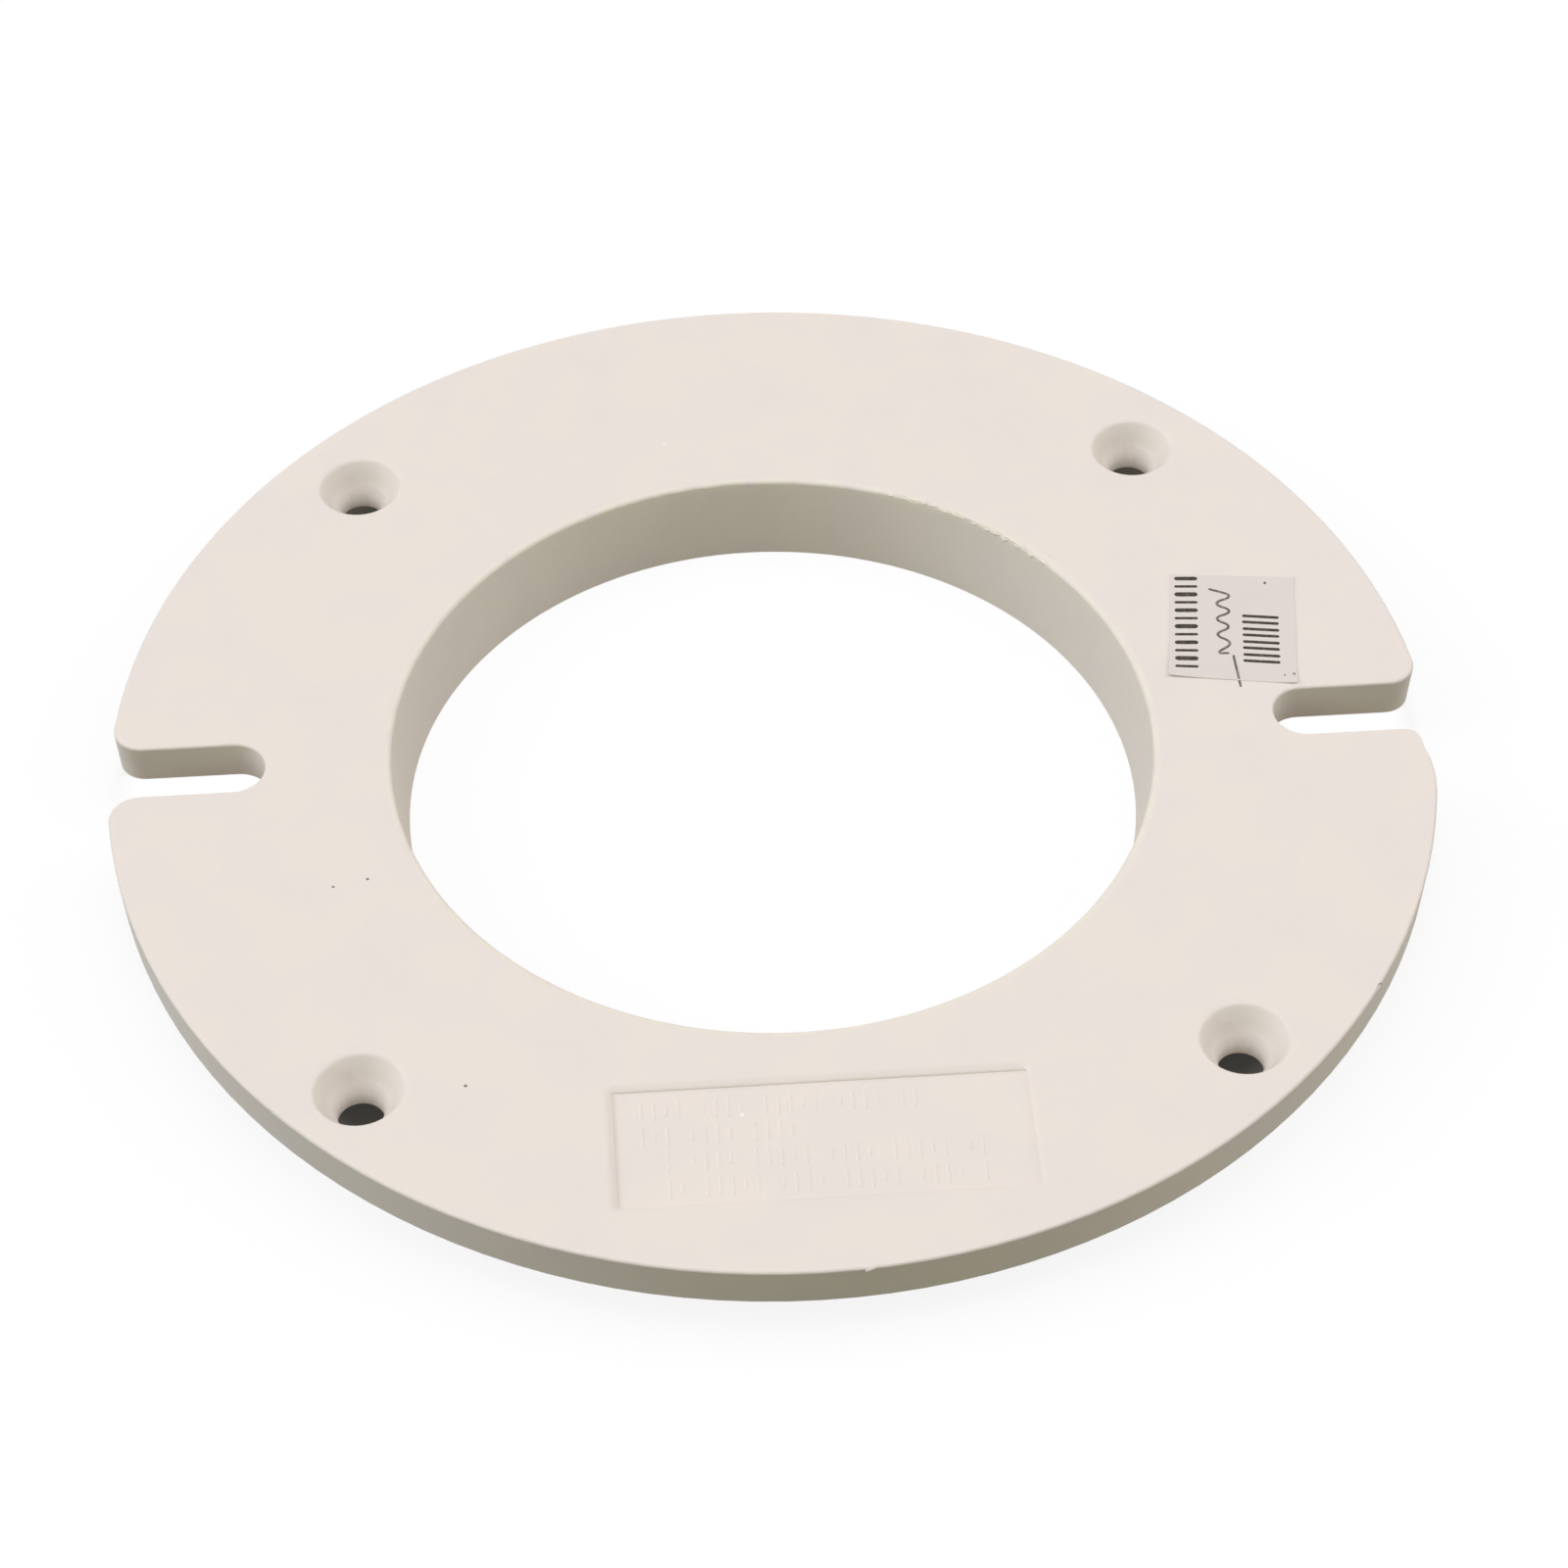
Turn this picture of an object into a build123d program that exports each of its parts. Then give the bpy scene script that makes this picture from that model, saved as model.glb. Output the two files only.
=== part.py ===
from build123d import *
import os
from math import radians, tan

# Closet flange extension ring, moulded in one piece. Lengths are in millimetres, angles in degrees.
# Z is the axis of the waste pipe, z = 0 is the lower end of the collar, and the bolt slots lie along X.

# Plate that carries the toilet
RIM_DIAMETER = 177.8
PLATE_THICKNESS = 6.35
WALL_DRAFT = 3.0                # rim and slot walls lean back towards the underside
TOP_EDGE_ROUND = 0.4
UNDER_EDGE_BREAK = 0.25

# Throat that the waste passes through, narrowing downwards
THROAT_TOP_DIAMETER = 102.0     # where the wall would meet the top face without its rounded lip
THROAT_TAPER = 7.2              # on each side
THROAT_LIP_ROUND = 0.9

# Collar under the plate that locates in the old flange
COLLAR_DROP = 5.85
COLLAR_WALL = 4.7               # at its lower end
COLLAR_DRAFT = 4.0
COLLAR_ROOT_BEVEL = 0.8
COLLAR_LEAD_IN = 0.8

# Open slots for the two closet bolts
BOLT_SPACING = 152.4
BOLT_SLOT_WIDTH = 8.6
BOLT_SLOT_RUN_IN = 3.9          # from the bolt's place to the centre of the slot's round end
BOLT_SLOT_MOUTH_ROUND = 4.0

# Countersunk holes for the screws into the floor
SCREW_COUNT = 4
SCREW_FIRST_ANGLE = 45.0
SCREW_HOLE_DIAMETER = 6.0
SCREW_HEAD_DIAMETER = 11.3      # where the cone would meet the top face without its rounded lip
SCREW_HEAD_CONE = 60.0          # full angle of the cone
SCREW_HEAD_LIP_ROUND = 0.5
SCREW_HEAD_TO_RIM = 4.75        # plate between a countersink and the rim, before the shift
SCREW_CIRCLE_SHIFT = 1.25       # from the throat's axis towards the panel, as the photo shows

# Shallow recessed panel in the top face, in front of the throat
PANEL_LENGTH = 51.8
PANEL_WIDTH = 18.2
PANEL_DEPTH = 0.5
PANEL_CORNER_ROUND = 0.4
PANEL_SIDE_SHIFT = 1.9          # from the middle of the plate, along +X
PANEL_INWARD_SHIFT = 1.45       # from the middle of the land between throat and rim

# Worked out from the sizes above
underside_z = COLLAR_DROP
top_z = underside_z + PLATE_THICKNESS
rim_radius = RIM_DIAMETER / 2
throat_top_radius = THROAT_TOP_DIAMETER / 2
throat_bottom_radius = throat_top_radius - top_z * tan(radians(THROAT_TAPER))
collar_end_radius = throat_bottom_radius + COLLAR_WALL
collar_root_radius = collar_end_radius + COLLAR_DROP * tan(radians(COLLAR_DRAFT))
slot_end_centre = BOLT_SPACING / 2 - BOLT_SLOT_RUN_IN
screw_circle_radius = rim_radius - SCREW_HEAD_TO_RIM - SCREW_HEAD_DIAMETER / 2
panel_centre = (throat_top_radius + rim_radius) / 2 - PANEL_INWARD_SHIFT


def slot_outline(side):
    """One bolt slot on the +X side (side = 1) or the -X side (side = -1), run out past the rim."""
    run_out = rim_radius + BOLT_SLOT_WIDTH
    middle = side * (slot_end_centre + run_out) / 2
    return Pos(middle, 0) * SlotCenterToCenter(run_out - slot_end_centre, BOLT_SLOT_WIDTH)


def plate_outline():
    """The plate's outline at its top face: the rim, two open slots and their rounded mouths."""
    outline = Circle(rim_radius) - slot_outline(1) - slot_outline(-1)
    corners_on_rim = outline.vertices().group_by(SortBy.DISTANCE)[-1]
    return fillet(corners_on_rim, BOLT_SLOT_MOUTH_ROUND)


def plate():
    """The drafted plate with its edges broken all round."""
    outline = Pos(0, 0, top_z) * plate_outline()
    blank = extrude(outline, amount=PLATE_THICKNESS, dir=(0, 0, -1), taper=WALL_DRAFT)
    blank = fillet(blank.faces().sort_by(Axis.Z)[-1].edges(), TOP_EDGE_ROUND)
    return chamfer(blank.faces().sort_by(Axis.Z)[0].edges(), UNDER_EDGE_BREAK)


def collar():
    """The collar, a drafted ring with a lead-in at its lower end."""
    profile = Polyline(
        (0, 0),
        (collar_end_radius - COLLAR_LEAD_IN, 0),
        (collar_end_radius, COLLAR_LEAD_IN),
        (collar_root_radius, underside_z),
        (0, underside_z),
        close=True,
    )
    return revolve(Plane.XZ * make_face(profile), Axis.Z)


def throat():
    """The tapered opening through plate and collar."""
    return Pos(0, 0, top_z / 2) * Cone(throat_bottom_radius, throat_top_radius, top_z)


def screw_hole():
    """One countersunk hole, its head's rim level with the top face at the origin."""
    cone_depth = (SCREW_HEAD_DIAMETER - SCREW_HOLE_DIAMETER) / 2 / tan(radians(SCREW_HEAD_CONE / 2))
    shank = Pos(0, 0, -PLATE_THICKNESS / 2) * Cylinder(SCREW_HOLE_DIAMETER / 2, PLATE_THICKNESS)
    head = Pos(0, 0, -cone_depth / 2) * Cone(SCREW_HOLE_DIAMETER / 2, SCREW_HEAD_DIAMETER / 2, cone_depth)
    return shank + head


def screw_holes():
    """The countersunk holes on their circle, their heads level with the top face."""
    places = PolarLocations(screw_circle_radius, SCREW_COUNT, start_angle=SCREW_FIRST_ANGLE)
    return [Pos(0, -SCREW_CIRCLE_SHIFT, top_z) * place * screw_hole() for place in places]


def panel_recess():
    """The shallow panel with slightly rounded corners."""
    outline = RectangleRounded(PANEL_LENGTH, PANEL_WIDTH, PANEL_CORNER_ROUND)
    return extrude(Pos(PANEL_SIDE_SHIFT, -panel_centre, top_z) * outline, amount=-PANEL_DEPTH)


def mouths(solid):
    """The openings in the top face as wires, the throat's last."""
    return solid.faces().sort_by(Axis.Z)[-1].inner_wires().sort_by(SortBy.LENGTH)


def flange_ring():
    """The whole ring as one solid."""
    ring = plate() + collar()
    underside = ring.faces().filter_by(Axis.Z).sort_by(Axis.Z)[1]
    ring = chamfer(underside.inner_wires()[0].edges(), COLLAR_ROOT_BEVEL)
    ring = ring - throat() - screw_holes()
    ring = fillet(mouths(ring)[-1].edges(), THROAT_LIP_ROUND)
    screw_mouths = mouths(ring)[:-1]
    ring = fillet([edge for mouth in screw_mouths for edge in mouth.edges()], SCREW_HEAD_LIP_ROUND)
    return ring - panel_recess()


os.makedirs("parts", exist_ok=True)
export_step(flange_ring(), "parts/flange_ring.step")
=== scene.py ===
"""Looks of the closet flange extension: moulded ring, raised marks in its panel, and paper label."""

import logging
from dataclasses import dataclass
from enum import Enum
from functools import reduce
from math import atan2, ceil, cos, degrees, hypot, pi, radians, sin, sqrt
from random import Random
from typing import Any, Callable, Iterable, Mapping, Sequence

import bmesh
import bpy
from bmesh.types import BMesh, BMVert
from bpy.types import Material, Mesh, NodeSocket, Object
from mathutils import Matrix, Vector


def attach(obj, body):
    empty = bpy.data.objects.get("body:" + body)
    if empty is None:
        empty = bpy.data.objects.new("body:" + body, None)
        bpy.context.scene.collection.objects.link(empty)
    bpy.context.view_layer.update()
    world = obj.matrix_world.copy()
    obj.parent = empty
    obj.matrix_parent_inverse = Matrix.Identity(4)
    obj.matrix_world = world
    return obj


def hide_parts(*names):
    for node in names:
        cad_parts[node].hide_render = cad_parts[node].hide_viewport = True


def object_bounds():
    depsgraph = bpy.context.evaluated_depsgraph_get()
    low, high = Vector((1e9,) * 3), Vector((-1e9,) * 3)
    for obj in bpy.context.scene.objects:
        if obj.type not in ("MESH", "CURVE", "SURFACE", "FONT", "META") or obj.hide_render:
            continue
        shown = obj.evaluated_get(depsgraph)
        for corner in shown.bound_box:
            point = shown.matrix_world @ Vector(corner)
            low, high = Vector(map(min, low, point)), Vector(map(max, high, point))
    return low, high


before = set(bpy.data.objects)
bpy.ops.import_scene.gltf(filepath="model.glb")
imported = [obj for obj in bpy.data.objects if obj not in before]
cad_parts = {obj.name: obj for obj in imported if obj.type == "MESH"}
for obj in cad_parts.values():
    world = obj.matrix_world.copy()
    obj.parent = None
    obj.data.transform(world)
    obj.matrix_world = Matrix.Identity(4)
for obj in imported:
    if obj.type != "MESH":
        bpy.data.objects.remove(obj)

CAD_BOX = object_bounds()
MM = 0.001
BODY = "root"
LOG = logging.getLogger("flange_extension")

TOP = CAD_BOX[1].z / MM
RIM_RADIUS = 88.9
THROAT_RADIUS = 51.0
PANEL_DEPTH = 0.5
SCREW_REACH = 55.508
SCREW_SHIFT = -1.25
SCREW_HOLES = tuple(
    (sx * SCREW_REACH, sy * SCREW_REACH + SCREW_SHIFT) for sx in (-1, 1) for sy in (-1, 1)
)

Point = tuple[float, float]
Place = tuple[float, float, float]
Band = tuple[float, float, float, float]
Colour = tuple[float, float, float]
Height = Callable[[float, float], float]


def srgb(red: int, green: int, blue: int) -> Colour:
    """Linear colour, from 0 to 1, of a screen colour from 0 to 255."""
    scaled = (channel / 255 for channel in (red, green, blue))
    return tuple(c / 12.92 if c <= 0.04045 else ((c + 0.055) / 1.055) ** 2.4 for c in scaled)


def rgba(colour: Any) -> Any:
    """Add full alpha to a plain colour and leave a link as it is."""
    return (*colour, 1.0) if isinstance(colour, tuple) else colour


def on_circle(radius: float, angle: float) -> Point:
    """The point of a circle round the ring's axis at an angle in degrees from +X."""
    return radius * cos(radians(angle)), radius * sin(radians(angle))


class Slot(Enum):
    """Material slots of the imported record."""

    RING = "ring_plastic"
    LABEL = "label_paper"


class Signal:
    """A number that changes over a surface: Python's operators add its Math nodes."""

    def __init__(self, shader: "Shader", socket: NodeSocket) -> None:
        """Keep the graph and the output socket that holds the number."""
        self.shader = shader
        self.socket = socket

    def _math(self, operation: str, first: "Signal | float", second: "Signal | float") -> "Signal":
        """The result of one Math node."""
        return self.shader.signal("ShaderNodeMath", {"operation": operation}, {0: first, 1: second})

    def __add__(self, other: "Signal | float") -> "Signal":
        """This plus the other."""
        return self._math("ADD", self, other)

    __radd__ = __add__

    def __sub__(self, other: "Signal | float") -> "Signal":
        """This minus the other."""
        return self._math("SUBTRACT", self, other)

    def __rsub__(self, other: "Signal | float") -> "Signal":
        """The other minus this."""
        return self._math("SUBTRACT", other, self)

    def __mul__(self, other: "Signal | float") -> "Signal":
        """This times the other."""
        return self._math("MULTIPLY", self, other)

    __rmul__ = __mul__

    def __pow__(self, other: "Signal | float") -> "Signal":
        """This to the power of the other."""
        return self._math("POWER", self, other)

    def __abs__(self) -> "Signal":
        """This without its sign."""
        return self._math("ABSOLUTE", self, 0.0)

    def at_most(self, other: "Signal | float") -> "Signal":
        """The smaller of this and the other."""
        return self._math("MINIMUM", self, other)

    def at_least(self, other: "Signal | float") -> "Signal":
        """The larger of this and the other."""
        return self._math("MAXIMUM", self, other)

    def rise(self, low: float, high: float) -> "Signal":
        """A smooth step: 0 up to the low value and 1 from the high one."""
        inputs = {"Value": self, "From Min": low, "From Max": high}
        return self.shader.signal("ShaderNodeMapRange", {"interpolation_type": "SMOOTHSTEP"}, inputs)

    def band(self, start: float, full: float, fading: float, end: float) -> "Signal":
        """A stretch with soft ends: 1 from full to fading, and 0 up to start and from end."""
        return self.rise(start, full) * (1 - self.rise(fading, end))


class Shader:
    """The node graph of one material or of the world."""

    def __init__(self, owner: Material | bpy.types.World) -> None:
        """Empty the owner's graph.

        Args:
            owner: The material or world that is given the graph.
        """
        owner.use_nodes = True
        self.tree = owner.node_tree
        self.tree.nodes.clear()

    def node(
        self,
        kind: str,
        settings: Mapping[str, Any] | None = None,
        inputs: Mapping[Any, Any] | None = None,
    ) -> bpy.types.Node:
        """Add any node.

        Args:
            kind: The node's type.
            settings: Its properties, which are set first.
            inputs: Values or links of its sockets, by name or number.

        Returns:
            The node.
        """
        made = self.tree.nodes.new(kind)
        for name, value in (settings or {}).items():
            setattr(made, name, value)
        for key, value in (inputs or {}).items():
            source = value.socket if isinstance(value, Signal) else value
            if isinstance(source, NodeSocket):
                self.tree.links.new(source, made.inputs[key])
            else:
                made.inputs[key].default_value = source
        return made

    def signal(self, kind: str, settings: Mapping[str, Any], inputs: Mapping[Any, Any]) -> Signal:
        """Add a node and take its first output, which is a number."""
        return Signal(self, self.node(kind, settings, inputs).outputs[0])

    def place(self) -> NodeSocket:
        """The point on the object, in metres in the ring's frame."""
        return self.node("ShaderNodeTexCoord").outputs["Object"]

    def millimetres(self, vector: NodeSocket) -> tuple[Signal, ...]:
        """X, Y and Z in millimetres of a place in metres."""
        parts = self.node("ShaderNodeSeparateXYZ", None, {0: vector}).outputs
        return tuple(Signal(self, part) * (1 / MM) for part in parts)

    def noise(self, vector: NodeSocket, grain: float, detail: float = 2.0, rough: float = 0.5) -> Signal:
        """Random variation round 0.5, in spots of a grain's size in millimetres and finer layers."""
        inputs = {"Vector": vector, "Scale": 1 / (grain * MM), "Detail": detail, "Roughness": rough}
        return self.signal("ShaderNodeTexNoise", {}, inputs)

    def blend(self, share: Signal, start: Any, end: Any) -> NodeSocket:
        """Mix two colours, each a value or a link, by the share of the second from 0 to 1."""
        inputs = {0: share, 6: rgba(start), 7: rgba(end)}
        return self.node("ShaderNodeMix", {"data_type": "RGBA"}, inputs).outputs[2]

    def bump(self, height: Signal) -> NodeSocket:
        """The normal, tilted by a height in millimetres."""
        return self.node("ShaderNodeBump", None, {"Distance": MM, "Height": height}).outputs[0]

    def surface(self, inputs: Mapping[str, Any]) -> None:
        """End the graph in one Principled shader with these values or links of its sockets."""
        shader = self.node("ShaderNodeBsdfPrincipled", None, inputs)
        self.node("ShaderNodeOutputMaterial", None, {"Surface": shader.outputs[0]})


def away(x: Signal, y: Signal, middle: Point = (0.0, 0.0)) -> Signal:
    """Distance of a place from a point, seen from above and in millimetres."""
    return ((x - middle[0]) ** 2.0 + (y - middle[1]) ** 2.0) ** 0.5


@dataclass(frozen=True)
class Spot:
    """A small round mark seen from above, in millimetres."""

    x: float
    y: float
    radius: float
    core: float = 0.5
    edge: float = 1.3

    def mask(self, x: Signal, y: Signal) -> Signal:
        """1 in the mark and 0 outside it."""
        inside, outside = self.core * self.radius, self.edge * self.radius
        return 1 - away(x, y, (self.x, self.y)).rise(inside, outside)


@dataclass(frozen=True)
class Strip:
    """A straight strip seen from above: its middle line, and how far it is full and reaches."""

    middle: float
    core: float
    edge: float

    def mask(self, across: Signal) -> Signal:
        """1 in the strip and 0 outside it."""
        return 1 - abs(across - self.middle).rise(self.core, self.edge)


def any_of(spots: Iterable[Spot], x: Signal, y: Signal) -> Signal:
    """1 in any of several marks and 0 outside them."""
    return reduce(Signal.at_least, [spot.mask(x, y) for spot in spots])


@dataclass(frozen=True)
class RingPlastic:
    """Matte off-white moulded plastic, a little handled, with painted shade high in the countersinks and
    along the panel's far and left edges, and painted light deep in the countersinks. Depths are below the
    top face.
    """

    warm: Colour = srgb(239, 230, 219)
    cool: Colour = srgb(237, 228, 220)
    cloud_grain: float = 9.0
    cloud_fade: Point = (0.35, 0.65)
    lip: Colour = srgb(240, 233, 218)
    lip_grain: float = 2.5
    lip_fade: Point = (0.3, 0.6)
    lip_reach: Band = (-1.2, -0.6, 0.8, 1.4)
    lip_depth: Point = (0.7, 1.4)
    # painted shade: a darker colour high in the countersinks' cones and along the panel's far and left
    # edges
    painted_shade: Colour = srgb(224, 215, 203)
    # painted light: a lighter colour deep in the countersinks, near the shanks
    painted_light: Colour = srgb(243, 236, 227)
    hole_radius: float = 6.0
    painted_shade_depth: Band = (0.1, 0.6, 1.6, 4.0)
    painted_light_depth: Band = (2.2, 4.4, 5.8, 6.1)
    # painted shade: a soft dark line along the panel's far and left edges
    panel_shade_strength: float = 0.42
    far_shade: Strip = Strip(-59.1, 0.2, 1.1)
    far_reach: Band = (-25.0, -23.8, 26.8, 28.0)
    left_shade: Strip = Strip(-24.3, 0.2, 1.1)
    left_reach: Band = (-78.4, -77.2, -59.4, -58.6)
    face_depth: Point = (0.7, 1.0)
    speck: Colour = srgb(125, 110, 98)
    bright: Colour = srgb(250, 247, 242)
    roughness: float = 0.62
    uneven: float = 0.1
    gloss: float = 0.3
    skin_grain: float = 0.5
    skin_height: float = 0.004
    throat_grain: float = 0.9
    throat_height: float = 0.045
    throat_fade: Point = (-0.3, 0.3)
    specks: tuple[Spot, ...] = (
        Spot(-54.29, -21.46, 0.22), Spot(-58.74, -22.5, 0.2), Spot(-42.12, -57.1, 0.24)
    )
    # small pale spots on the top face
    pale_specks: tuple[Spot, ...] = (Spot(-11.49, 60.29, 0.24), Spot(-8.11, -63.84, 0.3))

    def painted_shade_along_panel(self, x: Signal, y: Signal) -> Signal:
        """Where a faint dark line of painted shade follows the panel's far and left edges.

        Args:
            x: X in millimetres.
            y: Y in millimetres.

        Returns:
            The painted shade's strength on the line and 0 away from it.
        """
        far = self.far_shade.mask(y) * x.band(*self.far_reach)
        left = self.left_shade.mask(x) * y.band(*self.left_reach)
        return self.panel_shade_strength * far.at_least(left)

    def material(self) -> Material:
        """Build the plastic's material.

        Returns:
            The material.
        """
        made = bpy.data.materials.new("moulded_plastic")
        shader = Shader(made)
        place = shader.place()
        x, y, z = shader.millimetres(place)
        depth = TOP - z
        from_lip = away(x, y) - THROAT_RADIUS
        cloud = shader.noise(place, self.cloud_grain, detail=3.0)
        grain = shader.noise(place, self.skin_grain, detail=3.0, rough=0.6)
        colour = shader.blend(cloud.rise(*self.cloud_fade), self.cool, self.warm)
        on_lip = from_lip.band(*self.lip_reach) * (1 - depth.rise(*self.lip_depth))
        on_lip = on_lip * shader.noise(place, self.lip_grain).rise(*self.lip_fade)
        in_holes = any_of((Spot(*hole, self.hole_radius) for hole in SCREW_HOLES), x, y)
        on_top = 1 - depth.rise(*self.face_depth)
        for share, tint in (
            (on_lip, self.lip),
            # painted shade high in the countersinks, and painted light deep in them, near the shanks
            (in_holes * depth.band(*self.painted_shade_depth), self.painted_shade),
            (in_holes * depth.band(*self.painted_light_depth), self.painted_light),
            # painted shade along the panel's far and left edges
            (on_top * self.painted_shade_along_panel(x, y), self.painted_shade),
            (on_top * any_of(self.specks, x, y), self.speck),
            (on_top * any_of(self.pale_specks, x, y), self.bright),
        ):
            colour = shader.blend(share, colour, tint)
        in_throat = 1 - from_lip.rise(*self.throat_fade)
        cast = shader.noise(place, self.throat_grain, detail=4.0, rough=0.65) * in_throat
        shader.surface({
            "Base Color": colour,
            "Roughness": self.roughness + self.uneven * (grain - 0.5),
            "Specular IOR Level": self.gloss,
            "Normal": shader.bump(self.skin_height * grain + self.throat_height * cast),
        })
        return made


@dataclass(frozen=True)
class LabelPaper:
    """Thin matte sticker paper with faint fibres."""

    plain: Colour = srgb(232, 224, 217)
    fibre: Colour = srgb(225, 216, 209)
    fibre_grain: float = 0.35
    fibre_height: float = 0.006
    cloud_grain: float = 4.0
    roughness: float = 0.85
    uneven: float = 0.08
    gloss: float = 0.2

    def material(self) -> Material:
        """Build the paper's material.

        Returns:
            The material.
        """
        made = bpy.data.materials.new("sticker_paper")
        shader = Shader(made)
        place = shader.place()
        pulp = shader.noise(place, self.fibre_grain, detail=4.0, rough=0.7)
        cloud = shader.noise(place, self.cloud_grain)
        shader.surface({
            "Base Color": shader.blend(0.5 * pulp + 0.5 * cloud, self.plain, self.fibre),
            "Roughness": self.roughness + self.uneven * (pulp - 0.5),
            "Specular IOR Level": self.gloss,
            "Normal": shader.bump(self.fibre_height * pulp),
        })
        return made


INK_GRAIN = 0.45
INK_FADE = (0.4, 0.72)
INK_ROUGHNESS = 0.7
INK_UNEVEN = 0.2
INK_GLOSS = 0.2


class Ink(Enum):
    """How a line on the label is made: the colours between which its ink varies."""

    STAMP = (srgb(58, 53, 46), srgb(96, 89, 79))
    PEN = (srgb(104, 96, 91), srgb(156, 147, 141))

    def material(self) -> Material:
        """Build the ink's material.

        Returns:
            The material.
        """
        made = bpy.data.materials.new(f"{self.name.lower()}_ink")
        shader = Shader(made)
        patches = shader.noise(shader.place(), INK_GRAIN, rough=0.6)
        dark, pale = self.value
        shader.surface({
            "Base Color": shader.blend(patches.rise(*INK_FADE), dark, pale),
            "Roughness": INK_ROUGHNESS + INK_UNEVEN * (patches - 0.5),
            "Specular IOR Level": INK_GLOSS,
        })
        return made


def add_object(name: str, data: bpy.types.ID) -> Object:
    """Put a mesh, a lamp or a camera into the scene.

    Args:
        name: The object's name.
        data: What it holds.

    Returns:
        The object.
    """
    made = bpy.data.objects.new(name, data)
    bpy.context.scene.collection.objects.link(made)
    return made


def to_metres(work: BMesh, name: str) -> Mesh:
    """Turn closed forms in millimetres into a mesh in metres whose faces look outward.

    Args:
        work: The forms; they are used up.
        name: The mesh's name.

    Returns:
        The mesh.
    """
    bmesh.ops.recalc_face_normals(work, faces=work.faces)
    bmesh.ops.scale(work, vec=(MM, MM, MM), verts=work.verts)
    mesh = bpy.data.meshes.new(name)
    work.to_mesh(mesh)
    work.free()
    return mesh


def dress(mesh: Mesh, material: Material, crease: float = 30.0) -> Object:
    """Make a mesh a piece of the part.

    Args:
        mesh: The mesh, which gives the piece its name.
        material: The piece's material.
        crease: Edges sharper than this many degrees stay sharp.

    Returns:
        The piece.
    """
    mesh.materials.clear()
    mesh.materials.append(material)
    mesh.shade_smooth()
    mesh.set_sharp_from_angle(angle=radians(crease))
    piece = add_object(mesh.name, mesh)
    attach(piece, BODY)
    return piece


def add_hull(work: BMesh, points: Iterable[Sequence[float]]) -> None:
    """Add the closed convex form round some points.

    Args:
        work: The mesh that is added to.
        points: The points.
    """
    corners = [work.verts.new(point) for point in points]
    made = bmesh.ops.convex_hull(work, input=corners)
    loose = [item for item in made["geom_interior"] if isinstance(item, BMVert)]
    bmesh.ops.delete(work, geom=loose, context="VERTS")


def add_tube(work: BMesh, sections: Sequence[Sequence[Sequence[float]]]) -> None:
    """Add a closed form that runs through cross-sections with equally many points.

    Args:
        work: The mesh that is added to.
        sections: The cross-sections, each a loop of points.
    """
    loops = [[work.verts.new(point) for point in section] for section in sections]
    for this, following in zip(loops, loops[1:]):
        for i, corner in enumerate(this):
            j = (i + 1) % len(this)
            work.faces.new((corner, this[j], following[j], following[i]))
    work.faces.new(loops[0])
    work.faces.new(reversed(loops[-1]))


@dataclass(frozen=True)
class Stroke:
    """A line with round ends, in plan and in millimetres."""

    path: tuple[Point, ...]
    width: float
    spacing: float = 0.35
    end_steps: int = 3
    blunt_share: float = 0.25
    crest_share: float = 0.1
    look_ahead: float = 0.05

    def length(self) -> float:
        """How long the line is."""
        return sum(hypot(b[0] - a[0], b[1] - a[1]) for a, b in zip(self.path, self.path[1:]))

    def at(self, along: float) -> Vector:
        """A point of the line.

        Args:
            along: Distance from its start.

        Returns:
            The point.
        """
        for a, b in zip(self.path, self.path[1:]):
            run = hypot(b[0] - a[0], b[1] - a[1])
            if along <= run:
                return Vector(a).lerp(Vector(b), max(along, 0.0) / run)
            along -= run
        return Vector(self.path[-1])

    def stops(self) -> list[float]:
        """Where cross-sections stand: evenly, but closer together in the round ends.

        Returns:
            Distances from the start.
        """
        total, radius = self.length(), self.width / 2
        turns = (pi / 2 * step / self.end_steps for step in range(self.end_steps + 1))
        ends = [radius * (1 - cos(turn)) for turn in turns]
        count = max(ceil((total - 2 * radius) / self.spacing), 1)
        middle = [radius + (total - 2 * radius) * step / count for step in range(1, count)]
        return ends + middle + [total - end for end in reversed(ends)]

    def add_to(
        self, work: BMesh, face: Height, sink: float, rise: float, bevel: float, level: bool = False
    ) -> None:
        """Lay the line on a surface as a thin raised strip.

        Args:
            work: The mesh that is added to.
            face: Height of the surface that carries it.
            sink: How far the strip reaches into that surface.
            rise: How far it stands above it.
            bevel: How much narrower each side is at the top.
            level: Whether it lies level across and doesn't lean with the surface.
        """
        total, radius = self.length(), self.width / 2
        reach = bevel + self.look_ahead
        sections = []
        for stop in self.stops():
            middle = self.at(stop)
            ahead = (self.at(stop + reach) - self.at(stop - reach)).normalized()
            side = Vector((-ahead.y, ahead.x))
            from_end = min(stop, total - stop)
            half = radius if from_end >= radius else sqrt(max(from_end * (2 * radius - from_end), 0.0))
            half = max(half, self.blunt_share * radius)
            inner = max(half - bevel, self.crest_share * radius)
            section = []
            for out, up in ((half, -sink), (inner, rise), (-inner, rise), (-half, -sink)):
                spot = middle + out * side
                under = middle if level else spot
                section.append((spot.x, spot.y, face(under.x, under.y) + up))
            sections.append(section)
        add_tube(work, sections)


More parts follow.
